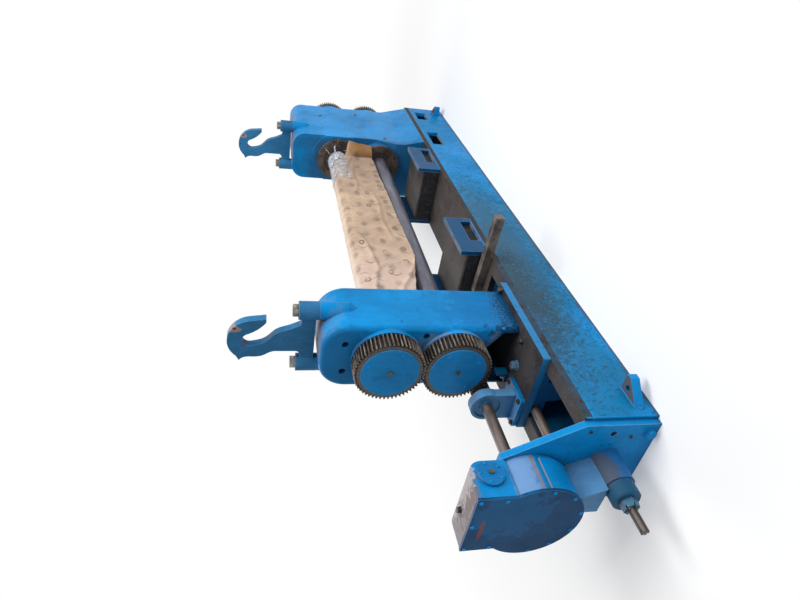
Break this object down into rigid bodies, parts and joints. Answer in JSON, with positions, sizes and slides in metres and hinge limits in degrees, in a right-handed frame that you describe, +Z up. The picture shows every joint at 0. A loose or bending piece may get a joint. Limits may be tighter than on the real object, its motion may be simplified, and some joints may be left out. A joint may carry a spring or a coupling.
{
  "type": "slitter head",
  "caption": "Twin-arbor slitter head on a welded bed: sliding outboard housing with ring gears, geared drive housing, lifting hooks.",
  "frame": {"origin": "middle of the bed's footprint on the floor", "axes": "+X along the arbors from the crank end to the drive end, -Y the operator's side, +Z up"},
  "size_m": [4.321, 0.8016, 1.7299],
  "materials": {
    "blue_paint": "semi-gloss azure enamel, chipped and oily at the seams",
    "dull_blue_paint": "flat blue enamel with a film of dust",
    "cover_blue_paint": "dusty dark blue enamel",
    "oily_steel": "dark machined steel with old oil",
    "gear_steel": "machined gear teeth with grease in the roots",
    "shaft_steel": "turned shaft with a brown oil film",
    "greasy_plate": "flat black-brown plate under old grease",
    "dusty_deck": "brown dusty plate",
    "bolt_steel": "plated nuts, worn",
    "kraft_paper": "tan protective paper, creased",
    "clear_film": "clear stretch film, wound"
  },
  "bodies": {
    "frame": {"right_wall": "blue_paint", "left_wall": "blue_paint", "bed_floor": "greasy_plate", "bed_ribs": "blue_paint", "ways": "greasy_plate", "deck_plate": "dusty_deck", "cross_pads": "greasy_plate", "window_plates": "blue_paint", "anchor_lugs": "blue_paint", "cross_bar": "shaft_steel", "end_plate": "blue_paint", "gear_case": "blue_paint", "case_cover": "cover_blue_paint", "worm_cap": "blue_paint", "case_foot": "dull_blue_paint", "crank_boss": "blue_paint", "crank_nut": "dull_blue_paint", "lead_screw": "shaft_steel", "guide_bar": "shaft_steel", "drive_housing": "blue_paint", "drive_hook": "dull_blue_paint", "drive_hook_nuts": "bolt_steel", "inner_bearing_flanges": "oily_steel", "outer_bearing_flanges": "oily_steel", "side_bearing_cap": "blue_paint", "paper_wrap": "kraft_paper", "film_wrap": "clear_film"},
    "carriage": {"slide_plate": "greasy_plate", "slide_block": "greasy_plate", "pillow_pad": "blue_paint", "pillow_block": "blue_paint", "outboard_housing": "blue_paint", "outboard_hook": "dull_blue_paint", "outboard_hook_nuts": "bolt_steel"},
    "upper_adjuster": {"upper_ring_gear": "gear_steel", "upper_gear_cap": "blue_paint", "upper_sleeve": "oily_steel"},
    "lower_adjuster": {"lower_ring_gear": "gear_steel", "lower_gear_cap": "blue_paint", "lower_sleeve": "oily_steel"},
    "pinion": {"pinion": "gear_steel"},
    "adjust_shaft": {"adjust_shaft": "shaft_steel"},
    "upper_arbor": {"upper_arbor": "oily_steel", "upper_drive_gear": "gear_steel"},
    "lower_arbor": {"lower_arbor": "oily_steel", "lower_drive_gear": "gear_steel"},
    "input": {"input_gear": "gear_steel", "input_shaft": "shaft_steel"}
  },
  "joints": [
    {"name": "carriage_slide", "type": "slide", "parent": "frame", "child": "carriage", "axis": [-1, 0, 0], "range_m": [0, 0.28]},
    {"name": "upper_adjust", "type": "hinge", "parent": "carriage", "child": "upper_adjuster", "pos_m": [-1.261, 0, 0.983], "axis": [1, 0, 0], "range_deg": [-90, 90]},
    {"name": "lower_adjust", "type": "hinge", "parent": "carriage", "child": "lower_adjuster", "pos_m": [-1.261, 0, 0.665], "axis": [1, 0, 0], "range_deg": [-90, 90]},
    {"name": "pinion_spin", "type": "hinge", "parent": "carriage", "child": "pinion", "pos_m": [-1.325, 0.136, 0.517], "axis": [1, 0, 0], "range_deg": [-345, 345]},
    {"name": "adjust_shaft_spin", "type": "hinge", "parent": "frame", "child": "adjust_shaft", "pos_m": [-1.755, 0.136, 0.517], "axis": [1, 0, 0], "range_deg": [-345, 345]},
    {"name": "upper_arbor_spin", "type": "hinge", "parent": "frame", "child": "upper_arbor", "pos_m": [0, 0, 0.983], "axis": [1, 0, 0], "continuous": true},
    {"name": "lower_arbor_spin", "type": "hinge", "parent": "frame", "child": "lower_arbor", "pos_m": [0, 0, 0.665], "axis": [1, 0, 0], "continuous": true},
    {"name": "input_spin", "type": "hinge", "parent": "frame", "child": "input", "pos_m": [1.865, 0.154, 0.458], "axis": [1, 0, 0], "continuous": true}
  ],
  "couplings": [
    {"joint": "lower_adjust", "follows": "upper_adjust", "ratio": -1},
    {"joint": "pinion_spin", "follows": "upper_adjust", "ratio": 3.7857},
    {"joint": "adjust_shaft_spin", "follows": "upper_adjust", "ratio": 3.7857},
    {"joint": "lower_arbor_spin", "follows": "upper_arbor_spin", "ratio": -1},
    {"joint": "input_spin", "follows": "upper_arbor_spin", "ratio": 1.6061}
  ]
}
